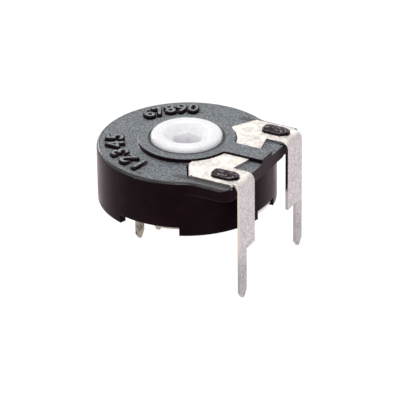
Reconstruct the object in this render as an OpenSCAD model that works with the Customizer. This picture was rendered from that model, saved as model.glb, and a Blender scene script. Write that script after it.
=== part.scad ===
// Trimmer potentiometer, 15 mm class, for flat mounting on a circuit board.
// Z = 0 is the board's upper face and the Z axis is the rotor's axis.
// +X points to the side where the two end terminals fold down over the lip.

/* [Drum] */
// Height of the drum's flat top ring above the board
ring_z = 6; // [5.8:0.1:7]
// Thickness of the drum's side wall
wall_t = 0.8; // [0.7:0.05:1]
// Thickness of the drum's top
top_t = 1; // [0.8:0.05:1.1]
// Rounding of the drum's top edge and of the lip
edge_r = 0.3; // [0.1:0.05:0.4]
// Height of the feet's undersides above the board
foot_z = 1.1; // [0.9:0.05:1.3]
// Height of the notches between the feet
notch_h = 0.75; // [0.4:0.05:1]
// Direction of the side notches from the X axis, in degrees
side_at = 87.5; // [84:0.5:92]
// Half angle of each side notch, in degrees
side_notch = 21; // [12:1:24]
// Half angle of the front notch, in degrees
front_notch = 10.5; // [6:0.5:13]

/* [Boss, tongue and lip] */
// Diameter of the raised boss around the rotor
boss_d = 8.16; // [7.6:0.05:8.6]
// Height of the boss and of the tongue above the ring
boss_h = 0.4; // [0.3:0.01:0.6]
// Width of the tongue that runs from the boss to the lip
tongue_w = 1.76; // [1.2:0.02:2]
// Radius of the blends between tongue and boss
tongue_blend = 0.4; // [0.2:0.05:0.8]
// How far the square lip reaches beyond the legs' outer edges
lip_side = 0.9; // [0.5:0.05:1.1]
// How far the lip's front stays behind the drum's foremost point
lip_back = 0.1; // [0:0.05:0.3]
// Thickness of the lip
lip_t = 1.1; // [1:0.05:1.6]
// Rounding of the lip's upright corners
lip_corner = 0.9; // [0.4:0.05:1.2]

/* [Rotor] */
// Diameter of the rotor's head
rotor_d = 6; // [5.4:0.1:6.4]
// Height of the rotor's head above the boss
rotor_rise = 0.42; // [0.25:0.01:0.6]
// Rounding of the head's rim
rim_r = 0.34; // [0.1:0.01:0.38]
// Diameter of the dish's mouth
dish_d = 4.3; // [4:0.02:4.4]
// Diameter of the dish's floor
floor_d = 2.74; // [2.72:0.02:3.2]
// Depth of the dish
dish_depth = 0.65; // [0.4:0.01:0.8]
// Rounding of the dish's mouth
mouth_r = 0.36; // [0.1:0.01:0.38]
// Width across flats of the hexagonal adjusting socket
hex_af = 2.3; // [2:0.05:2.4]
// Direction of one of the hexagon's corners at rest, in degrees
hex_at = 49; // [0:1:60]
// How far the carrier disc inside the drum reaches beyond the head
collar = 1.1; // [0.8:0.05:1.4]
// Thickness of the carrier disc
disc_t = 1.8; // [1.5:0.05:2]
// Diameter of the hub under the carrier disc
hub_d = 5; // [4.6:0.05:5.4]
// Diameter of the journal that turns in the collector
journal_d = 4.2; // [3.8:0.05:4.4]
// Height of the two stop lugs on the carrier disc
lug_h = 0.6; // [0.4:0.05:0.7]
// How far the stop lugs stand out of the carrier disc
lug_reach = 1.1; // [0.9:0.05:1.2]
// Half angle from the wiper arm to a lug's stop face, in degrees
lug_half = 23; // [19:0.5:24]
// Half angle of the housing's stop block, in degrees
stop_half = 23; // [19:0.5:24]
// Diameter of the two pips that hold the wiper
pip_d = 0.6; // [0.4:0.05:0.7]
// How far the pips stand through the wiper
pip_h = 0.15; // [0.05:0.01:0.2]
// Direction of the pips from the X axis, in degrees
pip_at = 40; // [30:1:60]

/* [Terminals] */
// Thickness of the terminals' sheet metal
sheet_t = 0.25; // [0.2:0.01:0.3]
// Distance between the two end pins
pin_pitch = 10; // [9.6:0.02:10.2]
// Distance from the end pins' line to the wiper pin
pin_reach = 12.5; // [12.2:0.05:12.7]
// Width of the solder pins
pin_w = 1.1; // [0.9:0.05:1.3]
// Length of the solder pins below the board's upper face
pin_len = 4.3; // [3:0.1:5]
// Length of the pins' pointed tips
tip_len = 0.55; // [0.3:0.05:0.8]
// Width of the pins' blunt ends
tip_w = 0.22; // [0.1:0.02:0.4]
// Width of the end terminals' legs above the board
leg_w = 2.55; // [2.3:0.05:2.8]
// Inside radius of the fold over the lip
fold_r = 0.4; // [0.35:0.05:0.6]
// Gap between the lip's front and the legs
leg_gap = 0.28; // [0.2:0.02:0.4]
// Angle of the plates' rear edges from the X axis, in degrees
plate_angle = 60; // [56:1:64]
// Gap between the plates and the boss or the tongue
plate_gap = 0.12; // [0.05:0.01:0.2]
// How far the plates reach beyond the legs' outer edges
plate_side = 0.15; // [0:0.01:0.3]
// How far the plates' front edge stays behind the lip's front
plate_back = 1.05; // [0.9:0.05:1.4]
// How much further back the plates' front edge ends at the leg
plate_slant = 0.45; // [0:0.05:0.6]
// Distance from the boss's side of a plate to its bent-down flange
flange_in = 0.15; // [0.05:0.01:0.3]
// Inside radius of the flanges' bends
flange_bend = 0.05; // [0.03:0.01:0.1]
// Width of the clenched tails under the resistive base
tail_w = 0.65; // [0.5:0.05:0.75]
// Length of the clenched tails
tail_len = 1.2; // [0.8:0.05:1.6]

/* [Stakes] */
// Length of the plastic stakes that hold the plates
stake_l = 2.4; // [2:0.05:2.45]
// Width of the plastic stakes
stake_w = 1.4; // [1:0.05:1.5]
// Distance from a leg's outer edge to the middle of its stake
stake_in = 1.05; // [0.95:0.05:1.5]
// How far the stakes' middle stays behind the lip's front
stake_back = 1.3; // [1.25:0.05:1.6]
// Gap round a stake in its slot
stake_gap = 0.05; // [0.03:0.01:0.1]
// How far the stakes' melted tops stand above the plates
stake_rise = 0.3; // [0.1:0.01:0.4]
// Radius of the stakes' rounded tops, across the stake
stake_top = 2.4; // [1.2:0.1:4]
// Diameter of the pegs that hold the collector
peg_d = 1; // [0.8:0.05:1.1]
// Diameter of the pegs' melted heads
head_d = 1.5; // [1.3:0.05:1.6]
// Height of the pegs' melted heads
head_h = 0.25; // [0.15:0.01:0.28]

/* [Resistive base and track] */
// Thickness of the resistive base
base_t = 0.8; // [0.6:0.05:0.9]
// Half angle of the gap in the horseshoe base, in degrees
base_gap = 40; // [36:1:43]
// Thickness of the printed carbon track
track_t = 0.05; // [0.03:0.01:0.06]
// Width of the printed carbon track
track_w = 1; // [0.9:0.05:1.1]
// Margin between the track and the base's inner edge
track_margin = 0.25; // [0.15:0.05:0.3]
// Angle between the ends of the base and of the track, in degrees
track_end = 3; // [1:0.5:4]
// Gap between the track and the tails on its pads
tail_gap = 0.31; // [0.2:0.01:0.4]
// Margin between the tails and the base's outer edge
tail_margin = 0.1; // [0.05:0.01:0.15]
// Angle that each pad spans behind its tail, in degrees
pad_span = 16; // [13:1:20]

/* [Wiper and collector] */
// Thickness of the wiper's spring sheet
spring_t = 0.2; // [0.15:0.01:0.25]
// Margin between the wiper's ring and the carrier disc's edge
ring_margin = 0.2; // [0.1:0.01:0.3]
// Width of the wiper's arm
arm_w = 1; // [0.8:0.05:1.2]
// Depth of the arm's root on the ring
arm_root = 0.4; // [0.2:0.05:0.6]
// Distance from the carrier disc to the arm's upward bend
arm_bend = 0.05; // [0.03:0.01:0.1]
// Radius of the arm's contact ridge
ridge_r = 0.3; // [0.25:0.01:0.35]
// Width of the fingers that slide on the collector
finger_w = 0.7; // [0.6:0.05:0.8]
// Length of the fingers along the ring
finger_l = 2.2; // [1.8:0.05:2.4]
// Length of the fingers' flat feet
finger_foot = 0.5; // [0.3:0.05:0.7]
// Height of the collector's upper face above the feet's undersides
collector_up = 0.55; // [0.5:0.05:0.7]
// Diameter of the collector's slip ring
slip_d = 7.8; // [7.6:0.05:8.2]
// Width of the collector's tail, above the wiper pin
collector_tail = 2.2; // [1.8:0.05:2.6]
// Inside radius of the fold between the collector's tail and the wiper pin
tail_fold = 0.3; // [0.2:0.05:0.4]
// How far the tail reaches below the feet before it narrows to the pin
tail_drop = 0.3; // [0.2:0.05:0.5]
// Distance from the axis to the straight rear edge of the collector's web
web_x = 0.7; // [0.5:0.05:1]
// Width of the small tabs turned down at the ends of that plate
web_tab = 0.35; // [0.25:0.05:0.6]
// How far those tabs hang below the plate
web_drop = 0.3; // [0.2:0.05:0.4]
// Width of the ledge that the collector rests on
ledge_w = 0.25; // [0.15:0.01:0.3]

/* [Fits] */
// Radial clearance of the rotor's head and journal
run_fit = 0.05; // [0.02:0.01:0.08]
// End play of the rotor
end_play = 0.1; // [0.05:0.01:0.15]
// Running gap round the rotor's carrier disc and lugs
run_gap = 0.25; // [0.2:0.01:0.3]
// Gap at the sliding contacts
contact_gap = 0.02; // [0.01:0.01:0.04]
// Clearance of pieces that are pushed or dropped into place
seat_fit = 0.04; // [0.02:0.01:0.06]

/* [Hidden] */
$fn = 96;
eps = 0.01;
// Where the turned profiles start and end, clear of the lip, the notches and the slots
turn_start = 137;

// Radii, from the rotor outwards to the drum
rotor_r = rotor_d / 2;
disc_r = rotor_r + collar;
bay_r = disc_r + run_gap;
track_r0 = bay_r + track_margin;
track_r1 = track_r0 + track_w;
track_mid = (track_r0 + track_r1) / 2;
tail_r0 = track_r1 + tail_gap;
tail_r1 = tail_r0 + tail_w;
base_r = tail_r1 + tail_margin;
wall_r = base_r + seat_fit;
drum_r = wall_r + wall_t;
big = 6 * drum_r;

boss_r = boss_d / 2;
boss_z = ring_z + boss_h;
ceil_z = ring_z - top_t;
lip_x = drum_r - lip_back;
base_z = ceil_z - base_t;
track_z = base_z - track_t;

rotor_z = boss_z + rotor_rise;
disc_top = ceil_z - end_play;
disc_z = disc_top - disc_t;
hub_r = hub_d / 2;
journal_r = journal_d / 2;
ring_r = disc_r - ring_margin;
pip_r = (hub_r + ring_r) / 2;
lug_r = disc_r + lug_reach;

collector_z1 = foot_z + collector_up;
collector_z = collector_z1 - sheet_t;
shelf_r = wall_r + ledge_w;
peg_r = (bay_r + wall_r) / 2;

leg_x0 = lip_x + leg_gap;
leg_x = leg_x0 + sheet_t / 2;
wiper_x = leg_x - pin_reach;
leg_y1 = pin_pitch / 2 + pin_w / 2;
leg_y0 = leg_y1 - leg_w;
lip_y = leg_y1 + lip_side;
plate_r = boss_r + plate_gap;
plate_y0 = tongue_w / 2 + plate_gap;
plate_y1 = leg_y1 + plate_side;
plate_x1 = lip_x - plate_back;
stake_x = lip_x - stake_back;
stake_y = leg_y1 - stake_in;
flange_r0 = plate_r + flange_in;
bend_r = sheet_t + flange_bend;
lap = 0.05;

// Square with its upper right corner rounded, from the origin to [w, h]
module round_square(w, h, r) {
    difference() {
        square([w, h]);
        translate([w - r, h - r]) difference() {
            square(r + eps);
            circle(r);
        }
    }
}

// Ring segment between two angles, of height h
module sector(r0, r1, a0, a1, h) {
    rotate([0, 0, a0]) rotate_extrude(angle = a1 - a0)
        translate([r0, 0]) square([r1 - r0, h]);
}

// Wedge with its edge on the Z axis, a half angle either side of direction a
module wedge(a, half, h) {
    rotate([0, 0, a]) linear_extrude(h)
        polygon([[0, 0], [big, -big * tan(half)], [big, big * tan(half)]]);
}

// Outline of the round boss with the tongue that runs from it to the lip's front
module boss_outline() {
    w = tongue_w / 2;
    cx = sqrt(pow(boss_r + tongue_blend, 2) - pow(w + tongue_blend, 2));
    circle(boss_r);
    translate([0, -w]) square([lip_x, tongue_w]);
    for (m = [0, 1]) mirror([0, m]) difference() {
        polygon([[cx, w + tongue_blend], [0, 0], [cx, 0]]);
        translate([cx, w + tongue_blend]) circle(tongue_blend);
    }
}

// Outline of a stake or its slot: square behind, pointed in front
module stake_shape(l, w) {
    polygon([[-l / 2, -w * 0.32], [-l / 2 + w * 0.22, -w / 2], [l / 2 - w * 0.45, -w / 2],
             [l / 2, -w * 0.14], [l / 2, w * 0.14], [l / 2 - w * 0.45, w / 2],
             [-l / 2 + w * 0.22, w / 2], [-l / 2, w * 0.32]]);
}

// Flat strip in the YZ plane that narrows to a pin with a pointed end, thickness t along X
module pin_strip(t, outline) {
    rotate([90, 0, 90]) linear_extrude(t) polygon(outline);
}

// Square lip with rounded upright corners and a rounded top edge
module lip() {
    z0 = ring_z - lip_t;
    intersection() {
        translate([0, 0, z0]) linear_extrude(lip_t) for (m = [0, 1]) mirror([0, m])
            round_square(lip_x, lip_y, lip_corner);
        translate([0, big / 2, z0]) rotate([90, 0, 0]) linear_extrude(big)
            round_square(lip_x, lip_t, edge_r);
        translate([-eps, 0, z0]) rotate([90, 0, 90]) linear_extrude(big)
            for (m = [0, 1]) mirror([m, 0]) round_square(lip_y, lip_t, edge_r);
    }
}

// Plastic stake, melted to a rounded top after the plate is laid over it
module stake() {
    h = edge_r + sheet_t + stake_rise;
    translate([stake_x, stake_y, ring_z - edge_r]) intersection() {
        linear_extrude(h) stake_shape(stake_l - 2 * stake_gap, stake_w - 2 * stake_gap);
        translate([-stake_l, 0, h - stake_top]) rotate([0, 90, 0]) union() {
            cylinder(r = stake_top, h = 2 * stake_l);
            translate([0, -stake_w, 0]) cube([h, 2 * stake_w, 2 * stake_l]);
        }
    }
}

// Moulded drum with its lip, boss, stakes and stop block, open underneath
module housing() {
    color([0.13, 0.13, 0.14]) difference() {
        union() {
            difference() {
                union() {
                    translate([0, 0, foot_z]) rotate([0, 0, turn_start]) rotate_extrude()
                        round_square(drum_r, ring_z - foot_z, edge_r);
                    lip();
                }
                translate([0, 0, foot_z - eps]) rotate([0, 0, turn_start]) {
                    cylinder(r = wall_r, h = ceil_z - foot_z + eps);
                    cylinder(r = shelf_r, h = collector_z1 - foot_z + eps);
                }
                for (a = [-side_at, side_at]) translate([0, 0, foot_z - eps])
                    wedge(a, side_notch, notch_h + eps);
                translate([0, 0, foot_z - eps]) wedge(0, front_notch, notch_h + eps);
            }
            translate([0, 0, ring_z - edge_r]) linear_extrude(boss_h + edge_r) boss_outline();
            for (m = [0, 1]) mirror([0, m, 0]) stake();
            translate([0, 0, collector_z1])
                sector(bay_r, wall_r + eps, -stop_half, stop_half, ceil_z + eps - collector_z1);
            for (a = [-1, 1]) rotate([0, 0, a * stop_half / 2]) translate([peg_r, 0, 0]) {
                translate([0, 0, collector_z]) cylinder(d = peg_d, h = sheet_t + eps);
                translate([0, 0, collector_z - head_h]) cylinder(d = head_d, h = head_h);
            }
        }
        translate([0, 0, foot_z]) rotate([0, 0, turn_start])
            cylinder(r = rotor_r + run_fit, h = big);
        for (m = [0, 1]) mirror([0, m, 0]) rotate([0, 0, plate_angle])
            translate([flange_r0 - seat_fit, -bend_r, ceil_z - eps])
                cube([tail_r1 - flange_r0 + 2 * seat_fit, bend_r + plate_gap, top_t + 2 * eps]);
    }
}

// Half section of the head's dish below z = 0: flat floor, sloping wall and rounded mouth
module dish_profile() {
    p = [floor_d / 2, -dish_depth];
    c = [dish_d / 2, -mouth_r];
    d = norm(c - p);
    a = atan2(c[1] - p[1], c[0] - p[0]) + asin(mouth_r / d);
    t = p + sqrt(d * d - mouth_r * mouth_r) * [cos(a), sin(a)];
    difference() {
        polygon([[0, p[1]], p, t, [c[0], 0], [c[0], eps], [0, eps]]);
        translate(c) circle(mouth_r);
    }
}

// White rotor: dished head, carrier disc with two stop lugs, hub and journal, hexagon through it
module rotor() {
    color([0.93, 0.92, 0.95]) difference() {
        union() {
            translate([0, 0, disc_z]) rotate_extrude() difference() {
                round_square(rotor_r, rotor_z - disc_z, rim_r);
                translate([0, rotor_z - disc_z]) dish_profile();
            }
            translate([0, 0, disc_z]) cylinder(r = disc_r, h = disc_t);
            translate([0, 0, collector_z1 + end_play])
                cylinder(r = hub_r, h = disc_z - collector_z1 - end_play);
            translate([0, 0, collector_z - sheet_t / 2])
                cylinder(r = journal_r, h = disc_z - collector_z);
            lug_in = asin((arm_w / 2 + run_gap) / disc_r);
            for (m = [0, 1]) mirror([0, m, 0]) translate([0, 0, disc_z])
                sector(disc_r - lap, lug_r, 180 - lug_half, 180 - lug_in, lug_h);
            for (m = [0, 1]) mirror([0, m, 0]) rotate([0, 0, pip_at])
                translate([pip_r, 0, disc_z - spring_t - pip_h])
                    cylinder(d = pip_d, h = spring_t + pip_h + eps);
        }
        rotate([0, 0, hex_at]) cylinder(d = hex_af / cos(30), h = big, $fn = 6);
    }
}

// Spring wiper under the carrier disc: ring, raised contact arm and two sliding fingers
module wiper() {
    z1 = disc_z;
    z0 = z1 - spring_t;
    ridge_z = track_z - contact_gap - ridge_r;
    foot = collector_z1 + contact_gap;
    bend_x = disc_r + arm_bend;
    color([0.80, 0.62, 0.36]) union() {
        difference() {
            translate([0, 0, z0]) cylinder(r = ring_r, h = spring_t);
            translate([0, 0, z0 - eps]) cylinder(r = hub_r + seat_fit, h = spring_t + 2 * eps);
            for (m = [0, 1]) mirror([0, m, 0]) rotate([0, 0, pip_at])
                translate([pip_r, 0, z0 - eps])
                    cylinder(d = pip_d + 2 * seat_fit, h = spring_t + 2 * eps);
        }
        rotate([90, 0, 180]) translate([0, 0, -arm_w / 2]) linear_extrude(arm_w)
            polygon([[ring_r - arm_root, z0], [bend_x + spring_t / 2, z0],
                     [track_mid - ridge_r + spring_t / 2, ridge_z - spring_t / 2],
                     [track_mid + ridge_r, ridge_z - spring_t / 2],
                     [track_mid + ridge_r, ridge_z + spring_t / 2],
                     [track_mid - ridge_r - spring_t / 2, ridge_z + spring_t / 2],
                     [bend_x, z1], [ring_r - arm_root, z1]]);
        rotate([90, 0, 180]) translate([track_mid, ridge_z, -arm_w / 2])
            cylinder(r = ridge_r, h = arm_w);
        for (a = [90, 270]) rotate([0, 0, a]) translate([pip_r - finger_w / 2, 0, 0])
            rotate([90, 0, 90]) linear_extrude(finger_w)
                polygon([[-finger_l / 2, z0 + eps], [(finger_l - finger_foot) / 2, foot],
                         [(finger_l + finger_foot) / 2, foot], [finger_l / 2, foot + spring_t],
                         [2 * spring_t - finger_l / 2, z0 + eps]]);
    }
}

// Flat plate of one end terminal, on the ring, with the slot for its stake
module terminal_plate() {
    edge = [cos(plate_angle), sin(plate_angle)];
    side = [sin(plate_angle), -cos(plate_angle)];
    fold_x = leg_x0 - fold_r;
    back_l = (plate_y1 - bend_r * side[1]) / edge[1];
    difference() {
        polygon([[0, plate_y0], [plate_x1, plate_y0], [plate_x1 - plate_slant, leg_y0],
                 [fold_x, leg_y0], [fold_x, leg_y1],
                 [fold_x - plate_side, plate_y1], edge * back_l + side * bend_r, side * bend_r]);
        circle(plate_r);
        translate([stake_x, stake_y]) stake_shape(stake_l, stake_w);
    }
}

// End terminal for the +Y side: plate, rear flange with its clenched tail, fold, leg and pin
module end_terminal() {
    z1 = ring_z + sheet_t;
    translate([0, 0, ring_z]) linear_extrude(sheet_t) terminal_plate();
    // rear edge, bent down through the ring to the resistive base
    rotate([0, 0, plate_angle]) {
        translate([flange_r0, -bend_r - lap, ceil_z]) rotate([90, 0, 90])
            linear_extrude(tail_r1 - flange_r0) difference() {
                round_square(bend_r + lap, z1 - ceil_z, bend_r);
                translate([-eps, -eps]) square([bend_r + lap - sheet_t + eps, top_t + eps]);
            }
        translate([tail_r0, -sheet_t, track_z - sheet_t])
            cube([tail_w, sheet_t, ceil_z - track_z + sheet_t + lap]);
        translate([tail_r0, -eps, track_z - sheet_t]) cube([tail_w, tail_len, sheet_t]);
    }
    // fold over the lip
    translate([leg_x0 - fold_r, leg_y1, ring_z - fold_r]) rotate([90, 0, 0])
        linear_extrude(leg_w) intersection() {
            difference() {
                circle(fold_r + sheet_t);
                circle(fold_r);
            }
            square(fold_r + sheet_t);
        }
    // leg with its shoulder on the board, and the pin
    y0 = leg_y1 - pin_w;
    yc = leg_y1 - pin_w / 2;
    translate([leg_x0, 0, 0]) pin_strip(sheet_t, [
        [leg_y0, ring_z - fold_r], [leg_y0, 0], [y0, 0], [y0, tip_len - pin_len],
        [yc - tip_w / 2, -pin_len], [yc + tip_w / 2, -pin_len], [leg_y1, tip_len - pin_len],
        [leg_y1, ring_z - fold_r]]);
}

// End terminal on the +Y side
module end_terminal_left() {
    color([0.86, 0.84, 0.82]) end_terminal();
}

// End terminal on the -Y side, the mirror image of the other
module end_terminal_right() {
    color([0.86, 0.84, 0.82]) mirror([0, 1, 0]) end_terminal();
}

// Horseshoe of brown laminate under the ring, notched for the terminals' tails
module resistive_base() {
    color([0.45, 0.27, 0.14]) difference() {
        translate([0, 0, base_z]) sector(bay_r, base_r, base_gap, 360 - base_gap, base_t);
        for (m = [0, 1]) mirror([0, m, 0]) rotate([0, 0, plate_angle])
            translate([tail_r0 - seat_fit, -sheet_t - seat_fit, base_z - eps])
                cube([drum_r, sheet_t + 2 * seat_fit, base_t + 2 * eps]);
    }
}

// Carbon track printed on the underside of the base, widened into a pad at each tail
module carbon_track() {
    color([0.10, 0.10, 0.11]) translate([0, 0, track_z]) union() {
        sector(track_r0, track_r1, base_gap + track_end, 360 - base_gap - track_end, track_t);
        for (m = [0, 1]) mirror([0, m, 0])
            sector(track_r1 - eps, tail_r1, plate_angle + track_end / 2, plate_angle + pad_span, track_t);
    }
}

// Stamped collector: slip ring, front web on the drum's ledge, and a tail folded into the wiper pin
module collector() {
    x0 = wiper_x - sheet_t / 2;
    color([0.82, 0.79, 0.74]) {
        difference() {
            translate([0, 0, collector_z]) linear_extrude(sheet_t) difference() {
                union() {
                    intersection() {
                        circle(shelf_r - seat_fit);
                        translate([web_x, -big / 2]) square(big);
                    }
                    circle(d = slip_d);
                    translate([x0 + sheet_t + tail_fold, -collector_tail / 2])
                        square([-x0 - sheet_t - tail_fold, collector_tail]);
                }
                circle(journal_r + run_fit);
                for (a = [-1, 1]) rotate(a * stop_half / 2) translate([peg_r, 0])
                    circle(d = peg_d + 2 * seat_fit);
            }
        }
        tab_y = sqrt(pow(shelf_r - seat_fit, 2) - pow(web_x + web_tab, 2)) - ledge_w / 2;
        for (m = [0, 1]) mirror([0, m, 0])
            translate([web_x, tab_y - sheet_t, collector_z - web_drop])
                cube([web_tab, sheet_t, web_drop + sheet_t / 2]);
        translate([x0 + sheet_t + tail_fold, collector_tail / 2, collector_z - tail_fold])
            rotate([90, 0, 0]) linear_extrude(collector_tail) intersection() {
                difference() {
                    circle(tail_fold + sheet_t);
                    circle(tail_fold);
                }
                translate([-tail_fold - sheet_t, 0]) square(tail_fold + sheet_t);
            }
        translate([x0, 0, 0]) pin_strip(sheet_t, [
            [-collector_tail / 2, collector_z - tail_fold], [-collector_tail / 2, foot_z - tail_drop],
            [-pin_w / 2, foot_z - tail_drop], [-pin_w / 2, tip_len - pin_len],
            [-tip_w / 2, -pin_len], [tip_w / 2, -pin_len], [pin_w / 2, tip_len - pin_len],
            [pin_w / 2, foot_z - tail_drop], [collector_tail / 2, foot_z - tail_drop],
            [collector_tail / 2, collector_z - tail_fold]]);
    }
}

housing();
rotor();
wiper();
end_terminal_left();
end_terminal_right();
resistive_base();
carbon_track();
collector();
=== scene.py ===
import math
import bmesh
import bpy
import numpy as np
from mathutils import Matrix, Vector


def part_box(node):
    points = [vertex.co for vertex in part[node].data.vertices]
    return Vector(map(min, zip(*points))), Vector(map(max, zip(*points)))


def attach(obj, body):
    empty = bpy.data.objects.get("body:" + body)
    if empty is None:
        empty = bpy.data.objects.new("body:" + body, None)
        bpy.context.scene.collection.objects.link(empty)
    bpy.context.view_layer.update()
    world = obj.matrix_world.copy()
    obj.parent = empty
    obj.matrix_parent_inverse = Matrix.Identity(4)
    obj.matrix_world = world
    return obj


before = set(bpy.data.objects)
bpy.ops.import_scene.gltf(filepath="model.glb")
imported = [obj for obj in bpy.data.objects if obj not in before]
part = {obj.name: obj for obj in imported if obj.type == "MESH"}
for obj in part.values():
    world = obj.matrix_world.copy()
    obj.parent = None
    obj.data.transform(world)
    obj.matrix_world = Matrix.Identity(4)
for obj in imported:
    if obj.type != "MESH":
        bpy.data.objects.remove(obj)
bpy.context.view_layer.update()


# Housing
# The drum with its boss, tongue and square lip: one moulding in black glass-filled nylon.
# The top is finely grained from the mould and the side came out of a smoother mould half; the
# faces that look up are also painted a much lighter grey than the sides, as painted light from
# above, and the two stakes through the plates were melted over with a hot tool.

class Wire:
    """One output of a shader node. +, -, * and abs on it add Math nodes, and node() adds any other."""

    def __init__(self, socket):
        self.socket = socket

    def node(self, kind, settings=None, inputs=None, output=0):
        """New node of this kind in the same tree, with its settings and its sockets' values or links."""
        tree = self.socket.id_data
        made = tree.nodes.new(kind)
        for name, value in (settings or {}).items():
            setattr(made, name, value)
        for name, value in (inputs or {}).items():
            slot = made.inputs[name]
            if isinstance(value, Wire):
                tree.links.new(value.socket, slot)
            elif slot.type == "RGBA" and len(value) == 3:
                slot.default_value = (*value, 1.0)
            else:
                slot.default_value = value
        return Wire(made.outputs[output]) if made.outputs else None

    def math(self, operation, a, b):
        """Math node on two values."""
        return self.node("ShaderNodeMath", {"operation": operation}, {0: a, 1: b})

    def __add__(self, other):
        return self.math("ADD", self, other)

    def __sub__(self, other):
        return self.math("SUBTRACT", self, other)

    def __rsub__(self, other):
        return self.math("SUBTRACT", other, self)

    def __mul__(self, other):
        return self.math("MULTIPLY", self, other)

    __radd__ = __add__
    __rmul__ = __mul__

    def __abs__(self):
        return self.node("ShaderNodeMath", {"operation": "ABSOLUTE"}, {0: self})

    def most(self, other):
        """The larger of two values."""
        return self.math("MAXIMUM", self, other)

    def step(self, low, high, start=0.0, end=1.0):
        """Smooth step of this value from start at low to end at high."""
        return self.node("ShaderNodeMapRange", {"interpolation_type": "SMOOTHSTEP"},
                         {0: self, 1: low, 2: high, 3: start, 4: end})

    def blend(self, first, second):
        """Mix of two colours by this value."""
        return self.node("ShaderNodeMix", {"data_type": "RGBA"}, {0: self, 6: first, 7: second}, 2)

    def axis(self, name):
        """One coordinate of this vector."""
        return self.node("ShaderNodeSeparateXYZ", None, {0: self}, name)


def new_finish(name):
    """An empty material and its Object coordinates in millimetres, as a Wire."""
    made = bpy.data.materials.new(name)
    made.use_nodes = True
    made.node_tree.nodes.clear()
    coords = made.node_tree.nodes.new("ShaderNodeTexCoord")
    metres = Wire(coords.outputs["Object"])
    per_metre = 1000.0
    return made, metres.node("ShaderNodeVectorMath", {"operation": "SCALE"}, {0: metres, "Scale": per_metre})


def grain(place, scale, detail=3.0, roughness=0.55):
    """Noise with about scale lumps to the millimetre, from 0 to 1 around 0.5."""
    return place.node("ShaderNodeTexNoise", None,
                      {"Vector": place, "Scale": scale, "Detail": detail, "Roughness": roughness})


def off_axis(place):
    """Distance of the place from the rotor's axis: the length of its X and Y."""
    flat = place.node("ShaderNodeVectorMath", {"operation": "MULTIPLY"}, {0: place, 1: (1.0, 1.0, 0.0)})
    return flat.node("ShaderNodeVectorMath", {"operation": "LENGTH"}, {0: flat}, "Value")


def relief(height, microns, under=None):
    """Bump of the given height in thousandths of a millimetre, over the normal under."""
    links = {"Height": height, "Strength": 1.0, "Distance": microns * 1e-6}
    if under is not None:
        links["Normal"] = under
    return height.node("ShaderNodeBump", None, links)


def soft_edge(place, radius_mm):
    """Normal that rounds the solid's sharp edges by the radius."""
    return place.node("ShaderNodeBevel", {"samples": 8}, {"Radius": radius_mm * 1e-3})


def surface(place, colour, rough, normal, specular=0.5, extra=None):
    """One look of a surface from its colour, roughness and normal, with any extra sockets."""
    links = {"Base Color": colour, "Roughness": rough, "Normal": normal, "Specular IOR Level": specular}
    links.update(extra or {})
    return place.node("ShaderNodeBsdfPrincipled", None, links)


def either(share, first, second):
    """The first look where the share is 0, the second where it is 1."""
    return share.node("ShaderNodeMixShader", None, {0: share, 1: first, 2: second})


def show(look):
    """The look becomes its material's surface."""
    look.node("ShaderNodeOutputMaterial", None, {"Surface": look})


def dress(piece, material):
    """The piece's only material becomes this one."""
    piece.data.materials.clear()
    piece.data.materials.append(material)


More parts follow.
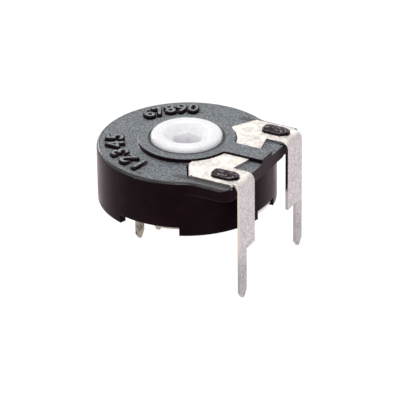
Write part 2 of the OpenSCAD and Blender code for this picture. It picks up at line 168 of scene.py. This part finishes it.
def black_finish(name, soft_mm, gloss, dark, light):
    """Black nylon: grained from dark to light where it faces up, smoother at the sides, and painted
    lighter where it faces up, as painted light. Its edges are rounded by soft_mm and shine by gloss."""
    fibre_grey, painted_shade_black = (0.42, 0.44, 0.46), (0.012, 0.012, 0.014)
    melt_black, melt_glint_grey = (0.006, 0.004, 0.005), (0.34, 0.32, 0.34)
    side_dark, side_light = (0.0050, 0.0014, 0.0026), (0.0090, 0.0034, 0.0050)
    purple_cast = {"Specular Tint": (1.0, 0.82, 0.9, 1.0), "Sheen Weight": 0.19,
                   "Sheen Roughness": 0.4, "Sheen Tint": (1.0, 0.62, 0.78, 1.0)}
    made, spot = new_finish(name)
    top_face = spot.node("ShaderNodeNewGeometry", None, None, "Normal").axis("Z").step(0.96, 0.995)
    forward, aside, height = spot.axis("X"), abs(spot.axis("Y")), spot.axis("Z")
    mould_grain = grain(spot, 6.6, detail=5.0, roughness=0.8)
    cloud = grain(spot, 0.5, detail=2.0)
    melt = grain(spot, 4.4, roughness=0.65)
    fibres = spot.node("ShaderNodeTexVoronoi", {"feature": "F1"}, {"Vector": spot, "Scale": 5.0})
    sparkle = fibres.step(0.16, 0.05) * top_face
    # the stakes' melted tops stand above the plates
    above_plates, past_tongue, past_ring = (6.22, 6.3), (3.5, 3.6), (4.0, 4.1)
    melted = height.step(*above_plates) * aside.step(*past_tongue) * forward.step(*past_ring)
    # the up-facing tone is painted much lighter than the side's near-black: painted light from above over
    # the real grain
    ring_tone = mould_grain.step(0.40, 0.62).blend(dark, light)
    ring_tone = (sparkle * 0.7).blend(ring_tone, fibre_grey)
    # the light-grey flecks on the melted tops are painted highlights on their lumps
    melt_tone = melt.step(0.54, 0.62).blend(melt_black, melt_glint_grey)
    ring_tone = melted.blend(ring_tone, melt_tone)
    # painted shade darkens the gap round the rotor, and a painted shadow of each plate darkens the lip
    # beside it
    rotor_gap, past_plates, inside_edge, along_lip = (3.32, 3.2), (5.5, 5.6), (6.2, 6.05), (1.6, 2.4)
    rotor_gap_shade = off_axis(spot).step(*rotor_gap)
    strip = aside.step(*past_plates) * aside.step(*inside_edge) * forward.step(*along_lip)
    ring_tone = (rotor_gap_shade * 0.95 + strip * 0.7).blend(ring_tone, painted_shade_black)
    side_tone = cloud.step(0.3, 0.7).blend(side_dark, side_light)
    side_tone = (melted * top_face).blend(side_tone, melt_tone)
    edge_tone = top_face.blend(side_tone, ring_tone)
    rounded = soft_edge(spot, soft_mm)
    lean = rounded.axis("Z")
    edge = lean.step(0.2, 0.55) * (1 - lean.step(0.93, 0.99))
    ring_bump = relief(mould_grain, microns=45.0, under=rounded)
    ring_bump = relief(melt * melted, microns=220.0, under=ring_bump)
    ripple = grain(spot, 1.6) + grain(spot, 9.0, detail=2.0) * 0.3 + melt * melted * 20
    side_bump = relief(ripple, microns=9.0, under=rounded)
    edge_bump = relief(mould_grain, microns=18.0, under=rounded)
    ring_look = surface(spot, ring_tone, mould_grain.step(0.2, 0.8, 0.42, 0.6), ring_bump, specular=0.42)
    side_look = surface(spot, side_tone, cloud.step(0.3, 0.7, 0.22, 0.32), side_bump, specular=0.03,
                        extra=purple_cast)
    edge_look = surface(spot, edge_tone, mould_grain.step(0.3, 0.7, 0.08, 0.24), edge_bump, specular=gloss)
    show(either(edge, either(top_face * (1 - melted), side_look, ring_look), edge_look))
    return made


ring_dark, ring_light = (0.032, 0.038, 0.044), (0.260, 0.280, 0.300)
black_nylon = black_finish("black_nylon", 0.16, 0.5, ring_dark, ring_light)
crisp_nylon = black_finish("crisp_nylon", 0.05, 0.5, ring_dark, ring_light)
dress(part["housing"], black_nylon)


def swept(name, points_mm, finish, crease_degrees=40):
    """Piece of the case whose closed section, one column of points, is carried from end to end and
    closed at both."""
    rows, cols = points_mm.shape[:2]
    at = np.arange(rows * cols).reshape(rows, cols)
    below = np.roll(at, -1, axis=0)
    cells = np.stack([at[:, :-1], at[:, 1:], below[:, 1:], below[:, :-1]], -1).reshape(-1, 4).tolist()
    ends = [at[:, 0].tolist(), at[:, -1].tolist()]
    mesh = bpy.data.meshes.new(name)
    mesh.from_pydata((points_mm * 1e-3).reshape(-1, 3).tolist(), [], cells + ends)
    shape = bmesh.new()
    shape.from_mesh(mesh)
    bmesh.ops.recalc_face_normals(shape, faces=shape.faces)
    shape.to_mesh(mesh)
    shape.free()
    mesh.shade_smooth()
    mesh.set_sharp_from_angle(angle=math.radians(crease_degrees))
    piece = bpy.data.objects.new(name, mesh)
    bpy.context.scene.collection.objects.link(piece)
    dress(piece, finish)
    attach(piece, "case")


def lip_web(name, side, drum=7.48, edge=6.43, sweep=3.4, ring=5.996, under=4.902, soft=0.3, deep=0.5):
    """Web that eases the lip's straight side into the round drum, in millimetres. Its face is an arc
    of radius sweep whose ends run just under both; a closed section, rounded at the top, is carried
    along it."""
    middle_y = edge + sweep
    middle_x = math.sqrt((drum + sweep) ** 2 - middle_y ** 2)
    turn = np.linspace(math.atan2(-middle_y, -middle_x), -math.pi / 2, 25)
    curl = np.linspace(0.0, math.pi / 2, 9)
    inward = np.concatenate([[deep], soft - soft * np.sin(curl), [0.0, deep]])
    height = np.concatenate([[ring], ring - soft + soft * np.cos(curl), [under, under]])
    reach = sweep + inward[:, None]
    x = middle_x + reach * np.cos(turn)
    y = side * (middle_y + reach * np.sin(turn))
    z = np.broadcast_to(height[:, None], x.shape)
    swept(name, np.stack([x, y, z], -1), black_nylon)


def lip_front(back=7.05, front=7.52, wide=5.8, low=4.95, ring=5.999, tongue=1.756, top=6.399):
    """Flat front of the lip between the legs, with the tongue's end flush above it: its outline in Y
    and Z is carried from back to front, in millimetres."""
    y = np.array([-wide, wide, wide, tongue, tongue, -tongue, -tongue, -wide]) / 2
    z = np.array([low, low, ring, ring, top, top, ring, ring])
    points = [np.stack([np.full_like(y, x), y, z], -1) for x in (back, front)]
    swept("lip_front", np.stack(points, 1), crisp_nylon)


lip_web("lip_web_left", 1)
lip_web("lip_web_right", -1)
lip_front()


# Dial numbers
# Raised figures on the ring, cut into the mould and so moulded in one with the drum, round
# shouldered and with the same grained top. They follow the ring clockwise, tops outward.
# the figures' tops are painted light against their black sides, as a painted highlight on the tops
figure_dark, figure_light = (0.05, 0.055, 0.06), (0.40, 0.42, 0.44)
figure_nylon = black_finish("figure_nylon", 0.03, 0.1, figure_dark, figure_light)


def dial_number(figure, degrees, radius_mm, tall_mm, ring_mm=6.0, raised_mm=0.3, shoulder_mm=0.13,
                swell_mm=0.01, size_to_height=1.45):
    """The figure as a solid of the given height, its middle at a radius and angle of the ring."""
    curve = bpy.data.curves.new("figure_" + figure, "FONT")
    curve.body = figure
    curve.align_x, curve.align_y = "CENTER", "CENTER"
    curve.size = size_to_height * tall_mm * 1e-3
    curve.offset = swell_mm * 1e-3
    curve.extrude = (raised_mm - shoulder_mm) * 0.5e-3
    curve.bevel_depth = shoulder_mm * 1e-3
    curve.bevel_resolution = 2
    text = bpy.data.objects.new("figure", curve)
    bpy.context.scene.collection.objects.link(text)
    bpy.context.view_layer.update()
    mesh = bpy.data.meshes.new_from_object(text.evaluated_get(bpy.context.evaluated_depsgraph_get()))
    bpy.data.objects.remove(text)
    turn = math.radians(degrees)
    middle_mm = Vector((radius_mm * math.cos(turn), radius_mm * math.sin(turn),
                        ring_mm + (raised_mm - shoulder_mm) * 0.5))
    mesh.transform(Matrix.Translation(middle_mm * 1e-3) @ Matrix.Rotation(turn - math.pi / 2, 4, "Z"))
    piece = bpy.data.objects.new("dial_number_" + figure, mesh)
    bpy.context.scene.collection.objects.link(piece)
    dress(piece, figure_nylon)
    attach(piece, "case")


# the first figure's angle and the next one's distance in degrees, radius and height in millimetres
near_start, near_apart, near_radius, near_tall = 258.0, 13.5, 5.9, 1.4
far_start, far_apart, far_radius, far_tall = 153.0, 10.0, 5.65, 1.25
for place, figure in enumerate("12345"):
    dial_number(figure, near_start - near_apart * place, near_radius, near_tall)
for place, figure in enumerate("67890"):
    dial_number(figure, far_start - far_apart * place, far_radius, far_tall)


# Rotor
# The adjuster: white glossy nylon, turned by a hexagonal key in the dished head. It snaps into
# the drum from below and carries the wiper.
white_shaded, white_clear = (0.86, 0.835, 0.87), (0.90, 0.88, 0.905)
milky = {"Subsurface Weight": 1.0, "Subsurface Radius": (0.9, 0.85, 0.95), "Subsurface Scale": 0.0016}
white_nylon, spot = new_finish("white_nylon")
shade = grain(spot, 0.7, detail=2.0)
scuff = grain(spot, 5.0, detail=4.0, roughness=0.7)
rotor_tone = shade.step(0.3, 0.7).blend(white_shaded, white_clear)
rotor_bump = relief(scuff, microns=5.0, under=soft_edge(spot, radius_mm=0.2))
show(surface(spot, rotor_tone, scuff.step(0.3, 0.8, 0.2, 0.34), rotor_bump, extra=milky))
dress(part["rotor"], white_nylon)


# Wiper
# The spring under the carrier disc: blanked and bent from hard bronze strip, held by two pips.
# Fine lines from the rolling mill run along it.
bronze_dark, bronze_light = (0.60, 0.42, 0.20), (0.78, 0.58, 0.32)
bare_metal = {"Metallic": 1.0}
bronze_strip, spot = new_finish("bronze_strip")
rolled = spot.node("ShaderNodeMapping", None, {"Vector": spot, "Scale": (1.0, 9.0, 1.0)})
lines = grain(rolled, 3.0, detail=4.0)
wiper_tone = lines.step(0.3, 0.7).blend(bronze_dark, bronze_light)
wiper_rough = lines.step(0.2, 0.8, 0.22, 0.38)
show(surface(spot, wiper_tone, wiper_rough, relief(lines, microns=3.0), extra=bare_metal))
dress(part["wiper"], bronze_strip)


# End terminals
# Two mirror-image stampings of tinned brass strip 0.25 mm thick: a plate on the ring with a tail
# down to the track, a fold over the lip, a leg with a shoulder that stands on the board, and a
# pointed pin.
plate_light, plate_dark, stain_tan = (0.78, 0.742, 0.71), (0.48, 0.447, 0.42), (0.66, 0.60, 0.50)
leg_light, leg_dark = (0.76, 0.68, 0.70), (0.43, 0.38, 0.395)
pin_light, pin_dark = (0.60, 0.53, 0.55), (0.25, 0.22, 0.23)
cut_brass, cut_dark = (0.68, 0.60, 0.53), (0.36, 0.34, 0.33)
tin_plate, spot = new_finish("tin_plate")
facing = spot.node("ShaderNodeNewGeometry", None, None, "Normal")
plate = facing.axis("Z").step(0.4, 0.9)
pin = spot.axis("Z").step(1.0, -2.0)
mottle = grain(spot, 1.7, detail=5.0, roughness=0.7)
matt = grain(spot, 7.0, detail=5.0, roughness=0.8)
stain = grain(spot, 0.6, detail=2.0)
plate_tone = mottle.step(0.3, 0.7).blend(plate_light, plate_dark)
leg_tone = matt.step(0.40, 0.62).blend(leg_light, leg_dark)
pin_tone = matt.step(0.42, 0.60).blend(pin_light, pin_dark)
leg_tone = (pin * 0.9).blend(leg_tone, pin_tone)
# the sheared edges show the brass, smoother than the tin; they are darker on the pins, and on the left one
# painted shade
cut_edge = abs(facing.axis("Y")).step(0.75, 0.95)
shaded_left_one = spot.axis("Y").step(-1.0, 1.0)
cut_tone = pin.most(shaded_left_one).blend(cut_brass, cut_dark)
leg_tone = (cut_edge * 0.8).blend(leg_tone, cut_tone)
tin_tone = plate.blend(leg_tone, plate_tone)
tin_tone = (stain.step(0.55, 0.8) * 0.35).blend(tin_tone, stain_tan)
tin_bump = relief(mottle, microns=26.0, under=soft_edge(spot, radius_mm=0.035))
tin_bump = relief(matt, microns=7.0, under=tin_bump)
tin_rough = matt.step(0.25, 0.75, 0.34, 0.5) * (1 - cut_edge * 0.6) + plate * 0.26
show(surface(spot, tin_tone, tin_rough, tin_bump, extra=bare_metal))
for name in ("end_terminal_left", "end_terminal_right"):
    dress(part[name], tin_plate)


# Resistive base and track
# A horseshoe blanked from brown paper laminate, with the carbon film screened on its underside.
# The end terminals' tails come through the ring and are clenched under it.
laminate_dark, laminate_light = (0.20, 0.10, 0.045), (0.32, 0.18, 0.085)
paper_laminate, spot = new_finish("paper_laminate")
speck = grain(spot, 3.0, detail=5.0, roughness=0.65)
laminate_tone = speck.step(0.3, 0.7).blend(laminate_dark, laminate_light)
laminate_rough = speck.step(0.2, 0.8, 0.45, 0.65)
show(surface(spot, laminate_tone, laminate_rough, relief(speck, microns=6.0), specular=0.4))
dress(part["resistive_base"], paper_laminate)

film_dark, film_light = (0.012, 0.012, 0.013), (0.024, 0.024, 0.026)
carbon_film, spot = new_finish("carbon_film")
screen = grain(spot, 14.0, roughness=0.6)
film_tone = screen.step(0.3, 0.7).blend(film_dark, film_light)
film_rough = screen.step(0.2, 0.8, 0.4, 0.62)
show(surface(spot, film_tone, film_rough, relief(screen, microns=3.0), specular=0.45))
dress(part["carbon_track"], carbon_film)


# Collector
# The wiper's stamping: slip ring, web on the drum's ledge and pegs, a tab in the front notch and the
# folded wiper pin, in the same tinned strip as the end terminals but left warmer and rubbed.
rubbed_light, rubbed_dark, sheared_bright = (0.46, 0.41, 0.35), (0.30, 0.26, 0.21), (0.72, 0.66, 0.65)
low_pin_light, low_pin_dark = (0.33, 0.29, 0.24), (0.085, 0.068, 0.048)
rubbed_tin, spot = new_finish("rubbed_tin")
mottle = grain(spot, 1.6, detail=4.0, roughness=0.65)
matt = grain(spot, 8.0, detail=4.0, roughness=0.7)
collector_tone = mottle.step(0.3, 0.75).blend(rubbed_light, rubbed_dark)
# the folded pin is darker low down
low_pin = spot.axis("Z").step(1.2, 0.4)
low_pin_tone = mottle.step(0.40, 0.60).blend(low_pin_light, low_pin_dark)
collector_tone = (low_pin * 0.8).blend(collector_tone, low_pin_tone)
# the tab's sheared end, out beside the drum's wall, is bright
tab_end = off_axis(spot).step(7.2, 7.28)
collector_tone = tab_end.blend(collector_tone, sheared_bright)
collector_bump = relief(mottle * 0.7 + matt * 0.3, microns=20.0, under=soft_edge(spot, radius_mm=0.06))
collector_rough = matt.step(0.25, 0.75, 0.32, 0.5)
show(surface(spot, collector_tone, collector_rough, collector_bump, extra=bare_metal))
dress(part["collector"], rubbed_tin)


def collector_tab(inner=6.85, outer=7.3, low=1.405, high=1.645, half_angle=9.5):
    """Tab of the web that sits in the drum's front notch: a square section in millimetres, carried
    round the axis from one side's angle to the other's."""
    turn = np.radians(np.linspace(-half_angle, half_angle, 9))
    radius = np.array([inner, outer, outer, inner])[:, None]
    z = np.array([low, low, high, high])[:, None] + 0 * turn
    points = np.stack([radius * np.cos(turn), radius * np.sin(turn), z], -1)
    swept("collector_tab", points, rubbed_tin)


collector_tab()


# Table, light and camera
# A pale table under the pins, a large soft light overhead with a small one beside it that draws
# the bright lines along the rounded edges, a weaker one at the left and two fills on the near side.
def flat_sheet(name, half, z):
    """Square of side 2 * half at height z, as one face, in metres."""
    mesh = bpy.data.meshes.new(name)
    corners = half * np.array([[-1, -1, 0], [1, -1, 0], [1, 1, 0], [-1, 1, 0]], float) + [0, 0, z]
    mesh.from_pydata(corners.tolist(), [], [[0, 1, 2, 3]])
    sheet = bpy.data.objects.new(name, mesh)
    bpy.context.scene.collection.objects.link(sheet)
    return sheet


def seen_white(wire):
    """1 for rays from the camera, from glossy reflections and through clear things, else 0."""
    camera = wire.node("ShaderNodeLightPath", None, None, "Is Camera Ray")
    glossy = wire.node("ShaderNodeLightPath", None, None, "Is Glossy Ray")
    through = wire.node("ShaderNodeLightPath", None, None, "Is Transmission Ray")
    return camera.most(glossy).most(through)


white, table_grey, room_blue = (1.0, 1.0, 1.0), (0.86, 0.86, 0.86), (0.95, 0.97, 1.0)
glow_share, glow_strength, room_strength = 0.88, 1.1, 0.47
table_finish, spot = new_finish("table_white")
pale = spot.node("ShaderNodeBsdfDiffuse", None, {"Color": table_grey})
glow = spot.node("ShaderNodeEmission", None, {"Color": white, "Strength": glow_strength})
show(either(seen_white(spot) * glow_share, pale, glow))
table = flat_sheet("table", 0.6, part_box("end_terminal_left")[0].z)
dress(table, table_finish)

world = bpy.data.worlds.new("studio")
bpy.context.scene.world = world
world.use_nodes = True
world.node_tree.nodes.clear()
start = Wire(world.node_tree.nodes.new("ShaderNodeLightPath").outputs["Is Camera Ray"])
room = start.node("ShaderNodeBackground", None, {"Color": room_blue, "Strength": room_strength})
backdrop = start.node("ShaderNodeBackground", None, {"Color": white, "Strength": 1.0})
start.node("ShaderNodeOutputWorld", None, {"Surface": either(seen_white(start), room, backdrop)})


def soft_box(name, place_mm, size_mm, watts, aim_mm=(0, 0, 3)):
    """Area lamp at a place, facing the part."""
    lamp = bpy.data.lights.new(name, "AREA")
    lamp.shape = "SQUARE"
    lamp.size = size_mm * 1e-3
    lamp.energy = watts
    holder = bpy.data.objects.new(name, lamp)
    holder.location = Vector(place_mm) * 1e-3
    holder.rotation_euler = (Vector(aim_mm) - Vector(place_mm)).to_track_quat("-Z", "Y").to_euler()
    bpy.context.scene.collection.objects.link(holder)


soft_box("overhead", (-40, 70, 215), size_mm=120, watts=0.175)
soft_box("glint", (-45, 85, 210), size_mm=22, watts=0.055)
soft_box("left", (-200, 110, 85), size_mm=45, watts=0.1)
soft_box("front", (70, -150, 120), size_mm=60, watts=0.115)
soft_box("near", (-110, -140, 130), size_mm=50, watts=0.035)

# The camera stands a quarter of a metre off, above the part and to its right, a little towards the
# end terminals. The point aim on the rotor's axis is seen at the pixel aim_px.
turn, tilt, roll = (math.radians(angle) for angle in (28.81, 28.08, -0.74))
away, aim = 0.250, Vector((0, 0, 6e-3))
focal_px, aim_px, image_px, sensor_mm = 3008.53, (186.69, 140.92), 400, 36.0
back = Vector((math.sin(turn) * math.cos(tilt), -math.cos(turn) * math.cos(tilt), math.sin(tilt)))
level = Vector((math.cos(turn), math.sin(turn), 0.0))
upright = back.cross(level)
right = math.cos(roll) * level + math.sin(roll) * upright
over = math.cos(roll) * upright - math.sin(roll) * level
metres_per_px = away / focal_px
stand = aim + away * back
stand -= right * (aim_px[0] - image_px / 2) * metres_per_px
stand -= over * (image_px / 2 - aim_px[1]) * metres_per_px
lens = bpy.data.cameras.new("camera")
lens.sensor_fit = "HORIZONTAL"
lens.sensor_width = sensor_mm
lens.lens = focal_px / image_px * sensor_mm
lens.clip_start = 0.01
camera = bpy.data.objects.new("camera", lens)
camera.matrix_world = Matrix((
    (right.x, over.x, back.x, stand.x), (right.y, over.y, back.y, stand.y),
    (right.z, over.z, back.z, stand.z), (0, 0, 0, 1)))
bpy.context.scene.collection.objects.link(camera)
bpy.context.scene.camera = camera
bpy.context.scene.view_settings.view_transform = "Standard"
